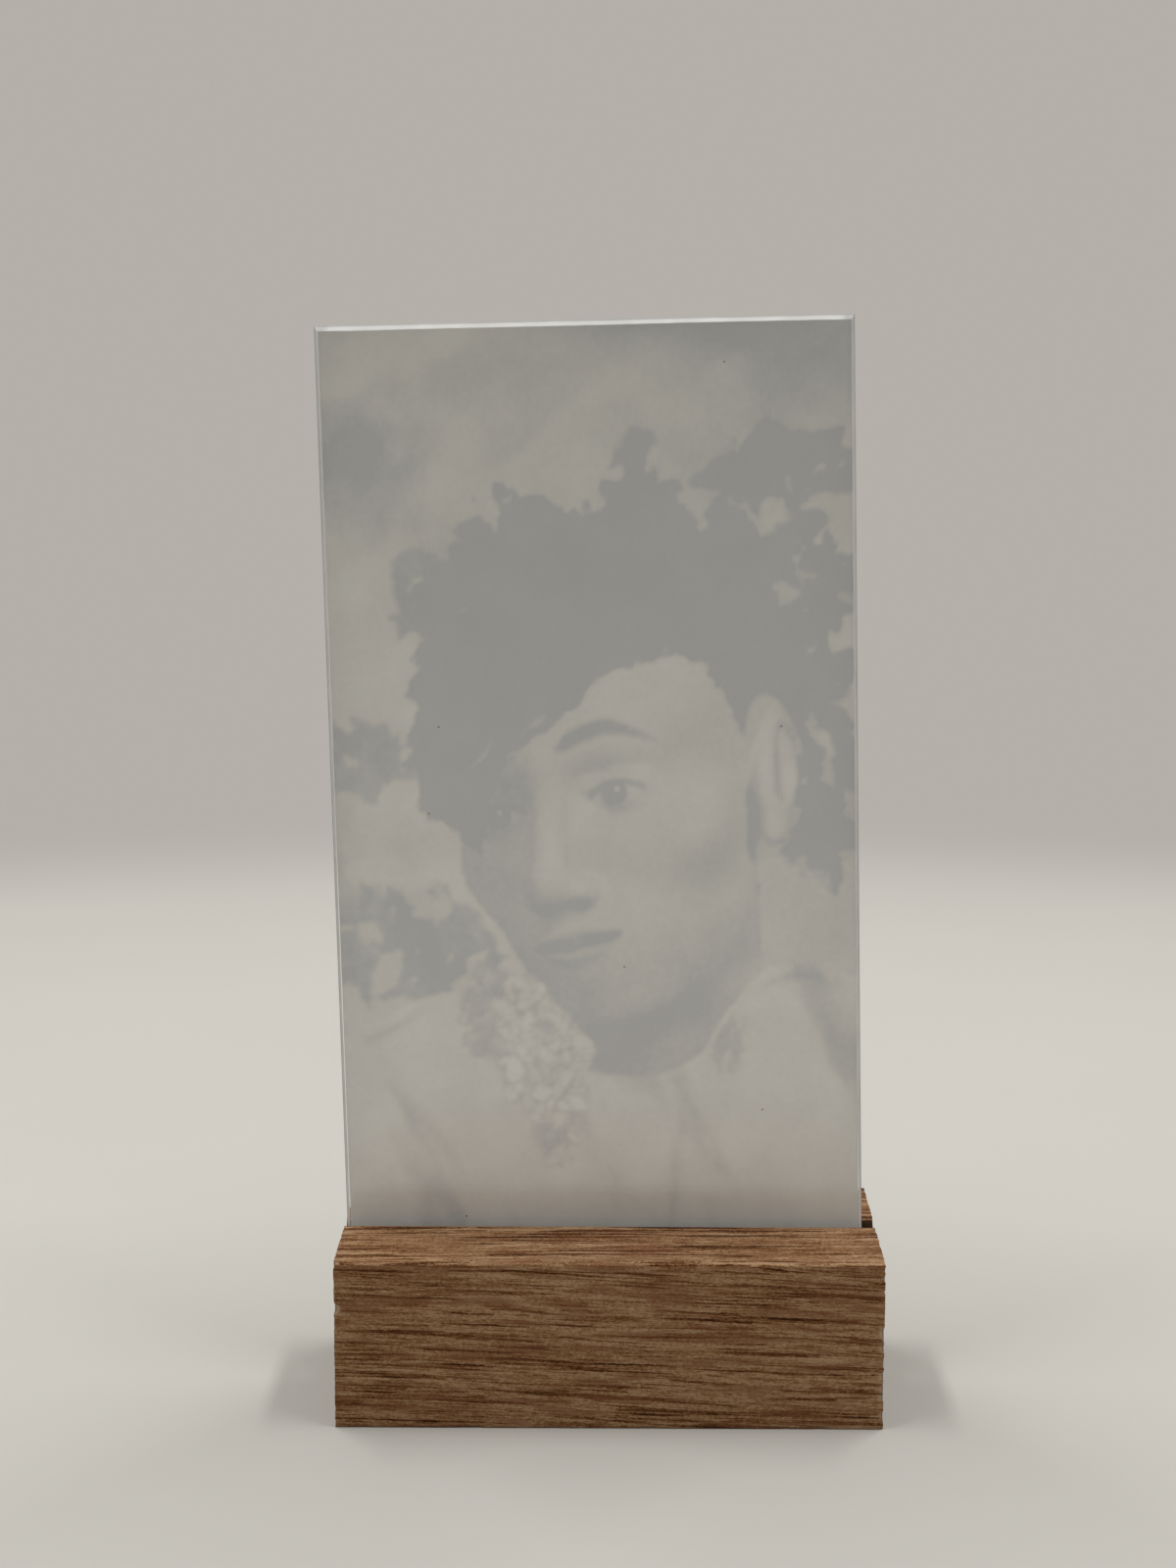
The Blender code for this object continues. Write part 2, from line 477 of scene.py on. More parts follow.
EASE = 0.35 * MM
EASE_STEPS = 3
GROOVE_LIP = 0.15 * MM
FRONT_STEP = 0.45 * MM
TOP_STEP = 0.6 * MM
HIDDEN_STEP = 1.5 * MM
ALONG_STEP = 0.9 * MM
END_ZONE = 3.0 * MM
END_ZONE_STEPS = 9
CAP_STEP = 0.8 * MM
CAP_MARGIN = 0.5 * MM
FACE, TOP, GROOVE, END = range(4)

# Wear of the block, mostly as a depth and a reach: frayed ends, nicks under the top, bites in the front edge,
# a chip at the left, a lost corner, a lost lip behind the groove, and rubbed and dented long edges.
RIGHT_SEED, LEFT_SEED = 11.3, 37.7
FRAY_DEPTH = 0.06 * MM
NICK_DEPTH, NICK_REACH = 0.22 * MM, 0.5 * MM
BITE_DEPTH, LEFT_BITE_DEPTH, BITE_REACH = 0.65 * MM, 0.14 * MM, 0.55 * MM
CHIP_DEPTH, CHIP_REACH = 0.9 * MM, 0.9 * MM
CHIP_HEIGHT, CHIP_HALF = 23.3 * MM, 1.0 * MM
CORNER_DEPTH, CORNER_REACH = 0.7 * MM, 1.6 * MM
LIP_DEPTH, LIP_REACH = 0.25 * MM, 0.8 * MM
RUB_DEPTH, DENT_DEPTH, RUBBED_REACH = 0.07 * MM, 0.5 * MM, 1.3 * MM

# Torn fibres look pale where they are torn deeper than this, fully so after a span, near the ends.
PALE_DEPTH, PALE_SPAN, PALE_REACH = 0.25 * MM, 0.4 * MM, 1.4 * MM


def wobble(first, second, seed, size):
    """Smooth noise between -1 and 1, with grains of the given size."""
    return noise.noise(Vector((first / size, second / size, seed)))


def fall(distance, reach):
    """1 at no distance, curving down to 0 at the reach."""
    return max(0.0, 1.0 - distance / reach) ** 2


def tear(y, z, right):
    """How far the saw has torn the block's end back at one point of it."""
    behind_front = y - BASE_LOW.y
    below_top = BASE_HIGH.z - z
    seed = RIGHT_SEED if right else LEFT_SEED
    bite = min(1.0, max(0.0, wobble(z, 0.0, seed, 1.15 * MM) + 0.05) / 0.55)
    nick = max(0.0, wobble(y, z, seed + 5.0, 1.6 * MM)) / 0.6
    depth = FRAY_DEPTH * (0.5 + 0.5 * wobble(y, z, seed + 9.0, 0.9 * MM))
    depth += NICK_DEPTH * nick * exp(-below_top / NICK_REACH)
    front_share = exp(-behind_front / BITE_REACH)
    if right:
        depth += BITE_DEPTH * bite**0.8 * front_share
        depth += LIP_DEPTH * fall(hypot(y - GROOVE_BACK, below_top), LIP_REACH)
    else:
        chip = max(0.0, 1.0 - ((z - CHIP_HEIGHT) / CHIP_HALF) ** 2) ** 0.5
        depth += CHIP_DEPTH * chip * exp(-behind_front / CHIP_REACH)
        depth += LEFT_BITE_DEPTH * bite * front_share
        depth += CORNER_DEPTH * fall(hypot(behind_front, below_top), CORNER_REACH)
    return depth


def run(start, end, step, face):
    """Points from start up to, but not including, end, each with the face that it opens."""
    start, end = Vector(start), Vector(end)
    count = max(1, round((end - start).length / step))
    return [(start.lerp(end, index / count), face) for index in range(count)]


def eased(centre, first, face):
    """An eased edge from an angle in degrees, without its last point, each point with its face."""
    return [(point, face) for point in quarter(centre, EASE, first, EASE_STEPS)[:-1]]


def section():
    """The block's section as points (y, z), clockwise from the foot of the front face."""
    front, back, low, high = BASE_LOW.y, BASE_HIGH.y, BASE_LOW.z, BASE_HIGH.z
    lip_front, lip_back = GROOVE_FRONT - GROOVE_LIP, GROOVE_BACK + GROOVE_LIP
    lip_low = high - GROOVE_LIP
    groove = (
        (lip_front, high),
        (GROOVE_FRONT, lip_low),
        (GROOVE_FRONT, GROOVE_FLOOR),
        (GROOVE_BACK, GROOVE_FLOOR),
        (GROOVE_BACK, lip_low),
        (lip_back, high),
    )
    points = run((front, low + EASE), (front, high - EASE), FRONT_STEP, FACE)
    points += eased((front + EASE, high - EASE), 180.0, TOP)
    points += run((front + EASE, high), groove[0], TOP_STEP, TOP)
    for start, end in zip(groove, groove[1:]):
        points += run(start, end, HIDDEN_STEP, GROOVE)
    points += run(groove[-1], (back - EASE, high), TOP_STEP, TOP)
    points += eased((back - EASE, high - EASE), 90.0, TOP)
    points += run((back, high - EASE), (back, low + EASE), TOP_STEP, FACE)
    points += eased((back - EASE, low + EASE), 0.0, FACE)
    points += run((back - EASE, low), (front + EASE, low), HIDDEN_STEP, TOP)
    points += eased((front + EASE, low + EASE), -90.0, FACE)
    return points


def worn(point, x):
    """A point of the section, moved in where the block's long edges are rubbed and dented."""
    moved = point.copy()
    edges = (
        (BASE_LOW.y, BASE_HIGH.z, Vector((1, -1))),
        (BASE_HIGH.y, BASE_HIGH.z, Vector((-1, -1))),
        (BASE_LOW.y, BASE_LOW.z, Vector((1, 1))),
        (BASE_HIGH.y, BASE_LOW.z, Vector((-1, 1))),
    )
    for seed, (y, z, inward) in enumerate(edges):
        near = fall(hypot(point.x - y, point.y - z), RUBBED_REACH)
        if near > 0.0:
            rub = RUB_DEPTH * (0.7 + 0.6 * wobble(x, 0.0, seed + 2.5, 5.0 * MM))
            dent = DENT_DEPTH * max(0.0, wobble(x, 0.0, seed + 8.5, 2.2 * MM) - 0.3)
            moved += inward * near * (rub + dent)
    return moved


def stations():
    """Places along the block, closer together near its ends."""
    inner_low, inner_high = BASE_LOW.x + END_ZONE, BASE_HIGH.x - END_ZONE
    zone = [END_ZONE * index / END_ZONE_STEPS for index in range(END_ZONE_STEPS)]
    count = round((inner_high - inner_low) / ALONG_STEP)
    middle = [inner_low + (inner_high - inner_low) * index / count for index in range(count + 1)]
    return [BASE_LOW.x + x for x in zone] + middle + [BASE_HIGH.x - x for x in reversed(zone)]


def sawn(shape, torn, x, point):
    """A point of the block at a station, torn back near the ends, with how pale its fibres are."""
    right = x > 0.0
    end = BASE_HIGH.x if right else BASE_LOW.x
    from_end = abs(end - x)
    if from_end >= END_ZONE:
        return marked(shape, (x, point.x, point.y), torn, 0.0)
    depth = tear(point.x, point.y, right)
    pale = min(1.0, max(0.0, depth - PALE_DEPTH) / PALE_SPAN) * fall(from_end, PALE_REACH)
    kept = from_end + depth * (1.0 - from_end / END_ZONE)
    return marked(shape, (end - kept if right else end + kept, point.x, point.y), torn, pale)


def cap(shape, ring, x, torn):
    """Closes one end with a fine net of triangles, torn back near its rim."""
    outline = [Vector((vert.co.y, vert.co.z)) for vert in ring]
    inside = []
    for y in np.arange(BASE_LOW.y + CAP_MARGIN, BASE_HIGH.y - CAP_MARGIN, CAP_STEP):
        for z in np.arange(BASE_LOW.z + CAP_MARGIN, BASE_HIGH.z - CAP_MARGIN, CAP_STEP):
            in_groove = GROOVE_FRONT - CAP_MARGIN < y < GROOVE_BACK + CAP_MARGIN
            if not (in_groove and z > GROOVE_FLOOR - CAP_MARGIN):
                inside.append(Vector((y, z)))
    loop = list(range(len(outline)))
    points, _, faces, origins, _, _ = geometry.delaunay_2d_cdt(outline + inside, [], [loop], 1, 1e-9)
    verts = []
    for point, origin in zip(points, origins):
        known = [index for index in origin if index < len(ring)]
        verts.append(ring[known[0]] if known else sawn(shape, torn, x, point))
    for face in faces:
        shape.faces.new([verts[index] for index in face]).material_index = END


def oak_block():
    """The base: one sawn block with rubbed edges, torn ends and a groove from end to end."""
    shape = bmesh.new()
    torn = shape.verts.layers.float.new("torn")
    outline = section()
    rings = []
    for x in stations():
        rings.append([sawn(shape, torn, x, worn(point, x)) for point, _ in outline])
    for ring, following in zip(rings, rings[1:]):
        for quad, (_, face) in zip(joined(shape, ring, following), outline):
            quad.material_index = face
    cap(shape, rings[0], BASE_LOW.x, torn)
    cap(shape, rings[-1], BASE_HIGH.x, torn)
    # Painted light and shade: `light` paints the top lighter than the front face, and the groove dark as shade
    # inside it.
    materials = [
        oak("oak_face", length=10.5, width=0.45, slope=radians(-2.3), light=1.04, contrast=1.10),
        oak("oak_top", length=13.0, width=1.0, slope=0.0, light=1.17, contrast=1.68),
        oak("oak_groove", length=9.0, width=0.6, slope=0.0, light=0.28, contrast=1.0),
        end_oak(),
    ]
    piece("oak_block", shape, materials, "base", "oak_base")


# Plate

EDGE_STEP = 1.5 * MM
FRONT_SEED = 3.5
BACK_SEED = 6.5
POLISHED, GROUND = range(2)


def arris_width(wide, along, seed):
    """The width of a hand-ground arris, which wanders a little along the edge."""
    slow = 0.10 * wobble(along, 0.0, seed, 24.0 * MM)
    fine = 0.05 * wobble(along, 0.0, seed + 4.0, 2.5 * MM)
    return wide * (1.0 + slow + fine)


def rectangle(wide, seed):
    """Points (u, v) round the plate's face, clockwise, taken in from its edge by an arris of that width."""
    half = PLATE_WIDTH / 2
    ends = ((-half, 0.0), (-half, PLATE_HEIGHT), (half, PLATE_HEIGHT), (half, 0.0))
    corners = [Vector(end) for end in ends]
    points, travelled = [], 0.0
    for corner, following in zip(corners, corners[1:] + corners[:1]):
        for point, _ in run(corner, following, EDGE_STEP, None):
            inset = arris_width(wide, travelled + (point - corner).length, seed)
            side = half - SIDE_SHARE * inset
            u = max(-side, min(side, point.x))
            v = max(inset, min(PLATE_HEIGHT - inset, point.y))
            points.append(Vector((u, v)))
        travelled += (following - corner).length
    return points


def glass_pane():
    """The plate: two polished faces with a ground border between them. `rim` is 1 on its outer edge, where its
    painted shade is deepest.
    """
    shape = bmesh.new()
    rim = shape.verts.layers.float.new("rim")
    layers = (
        (ARRIS_FACE, FRONT_SEED, GLASS_LOW.y, 0.0),
        (ARRIS_BEND * ARRIS_FACE, FRONT_SEED, GLASS_LOW.y + ARRIS_BEND * ARRIS_DEPTH, BEND_RIM_SHADE),
        (0.0, FRONT_SEED, GLASS_LOW.y + ARRIS_DEPTH, 1.0),
        (0.0, BACK_SEED, GLASS_HIGH.y - BACK_ARRIS, 1.0),
        (BACK_ARRIS, BACK_SEED, GLASS_HIGH.y, 0.0),
    )
    rings = []
    for wide, seed, y, edge in layers:
        ring = []
        for point in rectangle(wide, seed):
            # The sides get more painted shade.
            on_side = abs(point.x) > PLATE_WIDTH / 2 - 2 * ARRIS_FACE
            painted_shade = max(edge, SIDE_RIM_SHADE) if on_side else edge
            ring.append(marked(shape, (point.x, y, point.y), rim, painted_shade))
        rings.append(ring)
    for ring in (rings[0], rings[-1]):
        shape.faces.new(ring).material_index = POLISHED
    for ring, following in zip(rings, rings[1:]):
        for quad in joined(shape, ring, following):
            quad.material_index = GROUND
    materials = [polished_glass(), ground_glass()]
    piece("glass_pane", shape, materials, "plate", "glass_plate", GLASS_SHARP_BEND)


# Picture

PICTURE_STEP = 0.5 * MM
NOISE_TABLE = 64

# The figure's head: its middle and half height on the plate in mm, its lean and its turn aside.
HEAD_PLACE = (5.0, 101.0)
HEAD_HALF = 46.0
HEAD_TILT = radians(11.0)
HEAD_TURN = radians(26.0)

# Light on the head: where the key and the fill come from, and how strong each is.
KEY_LIGHT = np.array(Vector((0.62, 0.42, 0.66)).normalized())
FILL_LIGHT = np.array(Vector((-0.65, 0.25, 0.72)).normalized())
KEY_STRENGTH = 0.46
FILL_STRENGTH = 0.21
SKY_STRENGTH = 0.03
ALL_ROUND = 0.21

# Rays into the head, in head units: where they start and give up, how they step, and how near counts as met.
RAY_START = 1.6
RAY_END = -1.4
HEAD_BACK = -1.2
RAY_STEPS = 60
STEP_SHARE = 0.85
MET_WITHIN = 0.002
SLOPE_STEP = 0.004


def smooth(value, low, high):
    """A smooth step from 0 to 1 between two values."""
    share = np.clip((value - low) / (high - low), 0.0, 1.0)
    return share * share * (3 - 2 * share)


def laid_over(tone, share, other):
    return tone * (1 - share) + other * share


def ridge(distance, width):
    """1 on a line, falling smoothly away on both sides of it."""
    return np.exp(-((distance / width) ** 2))


def lattice(u, v, size, seed):
    """Smooth noise from 0 to 1 with grains of the given size."""
    table = np.random.default_rng(seed).random((NOISE_TABLE, NOISE_TABLE))
    column, row = np.floor(u / size).astype(int), np.floor(v / size).astype(int)
    along, up = smooth(u / size - column, 0, 1), smooth(v / size - row, 0, 1)
    left, right = column % NOISE_TABLE, (column + 1) % NOISE_TABLE
    below, above = row % NOISE_TABLE, (row + 1) % NOISE_TABLE
    low = laid_over(table[below, left], along, table[below, right])
    high = laid_over(table[above, left], along, table[above, right])
    return laid_over(low, up, high)


def clouds(u, v, size, seed, octaves=4):
    """Noise with finer and fainter layers, from 0 to 1."""
    total, weights = 0.0, 0.0
    for octave in range(octaves):
        weight = 0.55**octave
        total = total + weight * lattice(u, v, size / 2**octave, seed + octave)
        weights += weight
    return total / weights


def ripple(u, v, size, seed, octaves=4):
    """The same noise about zero."""
    return clouds(u, v, size, seed, octaves) - 0.5


def egg(p, centre, radii):
    """Distance to an ellipsoid, near enough for walking along rays."""
    q = p - np.array(centre)
    near = np.linalg.norm(q / np.array(radii), axis=-1)
    steep = np.linalg.norm(q / np.array(radii) ** 2, axis=-1)
    return near * (near - 1.0) / np.maximum(steep, 1e-6)


def rod(p, start, end, first, last):
    """Distance to a round bar whose radius runs from first to last."""
    start, end = np.array(start), np.array(end)
    line = end - start
    share = np.clip(((p - start) @ line) / (line @ line), 0.0, 1.0)
    return np.linalg.norm(p - start - share[..., None] * line, axis=-1) - (first + (last - first) * share)


def join(a, b, soft):
    """Two distances as one, with a soft seam."""
    share = np.maximum(soft - np.abs(a - b), 0.0) / soft
    return np.minimum(a, b) - share * share * soft / 4


def carve(a, b, soft):
    """The first distance with the second cut out of it."""
    return -join(-a, b, soft)


def ear(half):
    """Distance to an ear that leans back, with its rim and hollow."""
    lean = half + 0.28 * half[..., 1:2] * np.array((0.0, 0.0, 1.0))
    shape = egg(lean, (0.655, -0.03, -0.13), (0.075, 0.25, 0.15))
    shape = join(shape, egg(lean, (0.645, -0.27, -0.10), (0.05, 0.08, 0.07)), 0.04)
    shape = carve(shape, egg(lean, (0.745, 0.02, -0.13), (0.055, 0.17, 0.095)), 0.02)
    shape = join(shape, rod(lean, (0.69, -0.10, -0.19), (0.69, 0.10, -0.14), 0.022, 0.018), 0.03)
    return carve(shape, egg(lean, (0.72, -0.08, -0.09), (0.07, 0.10, 0.06)), 0.03)


def head(p):
    """Distance to a plain head: chin at -1, eyes at 0, crown at 1, looking along +z."""
    half = np.stack((np.abs(p[..., 0]), p[..., 1], p[..., 2]), axis=-1)
    shape = egg(p, (0, 0.30, -0.14), (0.68, 0.70, 0.84))
    # Face, jaw, chin, cheekbones and brows.
    shape = join(shape, egg(p, (0, -0.20, 0.12), (0.54, 0.77, 0.60)), 0.16)
    shape = join(shape, egg(half, (0.17, -0.50, 0.15), (0.28, 0.35, 0.42)), 0.14)
    shape = join(shape, egg(p, (0, -0.86, 0.46), (0.20, 0.14, 0.17)), 0.16)
    shape = join(shape, egg(half, (0.38, -0.20, 0.37), (0.19, 0.16, 0.18)), 0.22)
    shape = join(shape, rod(half, (0.0, 0.17, 0.63), (0.40, 0.20, 0.46), 0.07, 0.065), 0.14)
    # Eye sockets, eyeballs and lids.
    shape = carve(shape, egg(half, (0.28, 0.02, 0.74), (0.19, 0.12, 0.17)), 0.12)
    shape = join(shape, egg(half, (0.275, 0.0, 0.50), (0.15, 0.125, 0.135)), 0.03)
    shape = join(shape, rod(half, (0.16, 0.055, 0.60), (0.38, 0.045, 0.53), 0.032, 0.02), 0.05)
    # The nose's bridge, tip and wings.
    shape = join(shape, rod(p, (0, 0.12, 0.66), (0, -0.30, 0.85), 0.05, 0.08), 0.08)
    shape = join(shape, egg(p, (0, -0.345, 0.84), (0.09, 0.08, 0.10)), 0.06)
    shape = join(shape, egg(half, (0.095, -0.37, 0.76), (0.06, 0.055, 0.085)), 0.05)
    # The mouth, its lips and the line between them.
    shape = join(shape, egg(p, (0, -0.60, 0.52), (0.28, 0.22, 0.21)), 0.16)
    shape = join(shape, egg(p, (0, -0.557, 0.66), (0.20, 0.043, 0.085)), 0.03)
    shape = join(shape, egg(p, (0, -0.638, 0.655), (0.165, 0.05, 0.085)), 0.03)
    shape = carve(shape, rod(half, (0.0, -0.600, 0.78), (0.21, -0.578, 0.64), 0.026, 0.012), 0.03)
    # Ears and neck.
    shape = join(shape, ear(half), 0.03)
    return join(shape, rod(p, (0.0, -0.62, -0.14), (-0.30, -1.9, -0.40), 0.38, 0.46), 0.12)


def turned(p):
    """Viewer's axes to the head's own, for a head turned to the viewer's left."""
    c, s = cos(HEAD_TURN), sin(HEAD_TURN)
    return np.stack((c * p[..., 0] + s * p[..., 2], p[..., 1], -s * p[..., 0] + c * p[..., 2]), axis=-1)


def solid(p):
    return head(turned(p))


def seen(x, y):
    """Walks rays into the head; gives the points met and which rays met it."""
    p = np.stack((x, y, np.full_like(x, RAY_START)), axis=-1)
    live = np.ones(x.shape, bool)
    for _ in range(RAY_STEPS):
        gap = solid(p[live])
        p[live, 2] -= STEP_SHARE * gap
        still = (np.abs(gap) > MET_WITHIN) & (p[live, 2] > RAY_END)
        live[live] = still
        if not live.any():
            break
    return p, p[..., 2] > HEAD_BACK


def normals(p):
    """The directions that the head's surface faces."""
    slopes = []
    for axis in range(3):
        shift = np.zeros(3)
        shift[axis] = SLOPE_STEP
        slopes.append(solid(p + shift) - solid(p - shift))
    normal = np.stack(slopes, axis=-1)
    return normal / np.linalg.norm(normal, axis=-1, keepdims=True)


def lit(p, normal):
    """Light on the skin: a key from the upper right with its soft shadow, a fill, and some from all round."""
    open_way = np.ones(len(p))
    for distance in np.linspace(0.05, 0.75, 12):
        gap = solid(p + normal * 0.02 + KEY_LIGHT * distance)
        open_way = np.minimum(open_way, np.clip(0.5 + 9.0 * gap / distance, 0.0, 1.0))
    under_chin = smooth(-p[:, 1], 0.86, 1.0) * smooth(-p[:, 2], -0.45, -0.25)
    key = np.maximum(0.0, normal @ KEY_LIGHT) * open_way * (1.0 - 0.5 * under_chin)
    fill = np.maximum(0.0, normal @ FILL_LIGHT) * (1.0 - 0.6 * under_chin)
    return ALL_ROUND + SKY_STRENGTH * normal[:, 1] + FILL_STRENGTH * fill + KEY_STRENGTH * key


def painted(p, tone):
    """Brows, eyes, lips and the folds of the ear, in the head's own axes."""
    q = turned(p)
    x, y, front = np.abs(q[:, 0]), q[:, 1], q[:, 2] > 0.3
    arch = 0.05 * np.sin(np.pi * np.clip((x - 0.10) / 0.38, 0, 1)) - 0.06 * np.clip((x - 0.3) / 0.2, 0, 1)
    thick = 0.034 * smooth(x, 0.08, 0.15) * smooth(-x, -0.50, -0.30)
    brow = front * smooth(thick - np.abs(y - 0.235 - arch), -0.018, 0.016) * (thick > 0.002)
    hairs = clouds(x - 0.8 * y, 0.35 * y, 0.02, 33, 2)
    tone = tone * (1 - (0.46 + 0.30 * hairs) * brow)
    across = x - 0.275
    bow = 1 - (across / 0.128) ** 2
    opened = front * smooth(np.minimum(0.052 * bow - y, y + 0.042 * bow), -0.004, 0.010)
    tone = laid_over(tone, opened, np.maximum(tone, 0.52))
    iris = np.hypot(across, y - 0.006)
    tone = tone * (1 - 0.85 * opened * smooth(-iris, -0.062, -0.050))
    glint = np.hypot(q[:, 0] - np.sign(q[:, 0]) * 0.275 - 0.018, y - 0.022)
    tone = np.where(front & (glint < 0.014), 0.85, tone)
    above_lid = y - 0.052 * bow
    lash = front * ridge(above_lid, 0.016) * smooth(0.135 - np.abs(across), 0.0, 0.02)
    tone = tone * (1 - 0.7 * lash)
    crease = front * ridge(above_lid - 0.045, 0.012) * smooth(0.12 - np.abs(across), 0.0, 0.03)
    tone = tone * (1 - 0.25 * crease)
    corner = front * smooth(0.215 - x, 0.0, 0.03)
    rise = (x / 0.2) ** 2
    lips = np.minimum(-0.526 - 0.035 * rise - y, y + 0.694 - 0.100 * rise)
    tone = tone * (1 - 0.26 * corner * smooth(lips, -0.006, 0.014))
    tone = tone * (1 - 0.6 * corner * ridge(y + 0.600 - 0.024 * rise, 0.013))
    back, up = q[:, 2] + 0.28 * y + 0.13, y + 0.03
    on_ear = smooth(x, 0.60, 0.63)
    groove = ridge(np.hypot(back / 0.14, up / 0.24) - 0.70, 0.09) * smooth(up, -0.12, 0.0)
    hollow = smooth(1.0 - np.hypot((back - 0.04) / 0.065, (up + 0.05) / 0.12), 0.0, 0.5)
    return tone * (1 - on_ear * np.maximum(0.42 * groove, 0.62 * hollow))


def blob(x, y, centre, radii):
    """About how far inside an ellipse a point lies, in units of its smaller radius."""
    near = np.hypot((x - centre[0]) / radii[0], (y - centre[1]) / radii[1])
    return (1.0 - near) * min(radii)


def leaves(u, v, centre, radii, count, seed, lengths, widths):
    """How far inside each leaf of an oval clump every place lies, with that leaf's luck from 0 to 1."""
    draw = np.random.default_rng(seed)
    for _ in range(count):
        turn, reach = draw.uniform(0.0, 2 * pi), sqrt(draw.uniform())
        aim, size, luck = draw.random(3)
        aside = u - (centre[0] + radii[0] * reach * cos(turn))
        above = v - (centre[1] + radii[1] * reach * sin(turn))
        c, s = cos(pi * aim), sin(pi * aim)
        long = lengths[0] + lengths[1] * size
        wide = (widths[0] + widths[1] * luck) * long
        yield wide * (1.0 - ((aside * c + above * s) / long) ** 2) - np.abs(above * c - aside * s), luck


# Leaves and petals: half lengths in mm, the least and what is drawn on top, and half widths as shares of them.
LEAF_LENGTHS, LEAF_WIDTHS = (2.4, 3.4), (0.32, 0.20)
PETAL_LENGTHS, PETAL_WIDTHS = (1.2, 1.7), (0.42, 0.30)

# Clumps of leaves: their middle and reach in mm, how many leaves, their tone and their seed.
CLUMPS = (
    ((36.0, 162.0), (15.0, 6.0), 44, 0.14, 11),
    ((20.0, 156.0), (8.0, 6.0), 22, 0.14, 12),
    ((10.0, 163.0), (3.0, 5.0), 9, 0.20, 13),
    ((41.0, 141.0), (10.0, 11.0), 42, 0.14, 14),
    ((43.0, 105.0), (8.0, 22.0), 62, 0.14, 15),
    ((-44.0, 108.0), (8.0, 6.0), 24, 0.28, 16),
    ((-36.0, 71.5), (15.0, 9.5), 130, 0.26, 17),
    ((-32.0, 139.5), (5.0, 6.0), 14, 0.26, 18),
)


def scenery(u, v):
    """A pale cloudy sky and a pale bush at the left, with leaves beside the head."""
    tone = 0.62 + 0.50 * ripple(u, v, 24.0, 3)
    tone = tone - 0.26 * smooth(v + 0.3 * u + 18.0 * ripple(u, v, 14.0, 8), 178.0, 198.0)
    patch = blob(u, v, (-46.0, 162.0), (15.0, 16.0)) + 16.0 * ripple(u, v, 9.0, 26)
    tone = tone - 0.26 * smooth(patch, -4, 6)
    streak = 14.0 * ripple(u - v, 0.35 * (u + v), 9.0, 28)
    tone = tone - 0.22 * smooth(blob(u, v - 0.5 * u, (-18.0, 187.0), (28.0, 12.0)) + streak, -5, 7)
    bush = smooth(blob(u, v, (-33.0, 92.0), (16.0, 13.0)) + 9.0 * ripple(u, v, 7.0, 37), -1.0, 1.5)
    tone = laid_over(tone, bush, 0.70 + 0.3 * ripple(u, v, 6.0, 39))
    thicket = smooth(blob(u, v, (-38.0, 74.0), (16.0, 9.0)) + 8.0 * ripple(u, v, 6.0, 43), -1.0, 2.0)
    tone = laid_over(tone, thicket, 0.40)
    rag_u = u + 3.4 * ripple(u, v, 3.6, 91)
    rag_v = v + 3.4 * ripple(u, v, 3.6, 95)
    for centre, radii, count, dark, seed in CLUMPS:
        for inside, luck in leaves(rag_u, rag_v, centre, radii, count, seed, LEAF_LENGTHS, LEAF_WIDTHS):
            shade = dark + (0.36 if luck > 0.84 else 0.12 * luck)
            tone = laid_over(tone, smooth(inside, -0.4, 0.5), shade)
    return tone


# Hair, in head units: its main mass, the locks beside it as middles and reaches, and its outline's curls.
HAIR_MIDDLE = (0.05, 0.56)
HAIR_SIZE = (0.74, 0.64)
SIDE_LOCKS = (
    ((-0.52, 0.30), (0.28, 0.46)),
    ((0.66, 0.42), (0.20, 0.40)),
    ((0.76, -0.08), (0.09, 0.40)),
)
CURLS = 44
CURL_RING = (0.75, 0.65)


def curls(x, y):
    """How far inside the round locks that stand out along the hair's outline a point lies."""
    draw = np.random.default_rng(47)
    inside = np.full_like(x, -1.0)
    for turn in np.linspace(radians(215.0), radians(-20.0), CURLS):
        reach, size = draw.uniform(0.84, 1.05), draw.uniform(0.03, 0.10)
        aside = x - HAIR_MIDDLE[0] - CURL_RING[0] * reach * cos(turn)
        above = y - HAIR_MIDDLE[1] - CURL_RING[1] * reach * sin(turn)
        inside = np.maximum(inside, size - np.hypot(aside, above))
    return inside


def hair_reach(x, y):
    """How far inside the hair a point of the picture lies, in head units."""
    rag_x = x + 0.28 * ripple(x, y, 0.12, 41, 5)
    rag_y = y + 0.28 * ripple(x, y, 0.11, 51, 5)
    mass = np.maximum(blob(rag_x, rag_y, HAIR_MIDDLE, HAIR_SIZE), curls(rag_x, rag_y))
    for centre, radii in SIDE_LOCKS:
        mass = np.maximum(mass, blob(rag_x, rag_y, centre, radii))
    line = np.interp(
        x + 0.10 * ripple(x, y, 0.10, 67),
        (-0.80, -0.62, -0.52, -0.30, 0.0, 0.20, 0.36, 0.46, 0.53, 0.57, 0.60),
        (-0.40, -0.12, 0.16, 0.28, 0.45, 0.55, 0.54, 0.40, 0.16, 0.05, -0.6),
    )
    lock = 0.16 * ripple(x, 0.4 * y, 0.16, 57)
    return np.minimum(np.minimum(mass, y - line + lock), -blob(x, y, (0.655, 0.0), (0.12, 0.28)))


def hair_tone(x, y):
    """Dark hair combed from the right of the crown over to the left, with a few paler flecks."""
    turn = np.arctan2(y - 1.25, x - 0.95)
    reach = np.hypot(y - 1.25, x - 0.95)
    fleck = clouds(turn * 1.5 + 0.10 * clouds(x, y, 0.35, 59, 2), reach * 0.3, 0.05, 61, 3)
    return 0.10 + 0.36 * smooth(fleck, 0.62, 0.80) * smooth(clouds(x, y, 0.24, 65, 3), 0.42, 0.68)


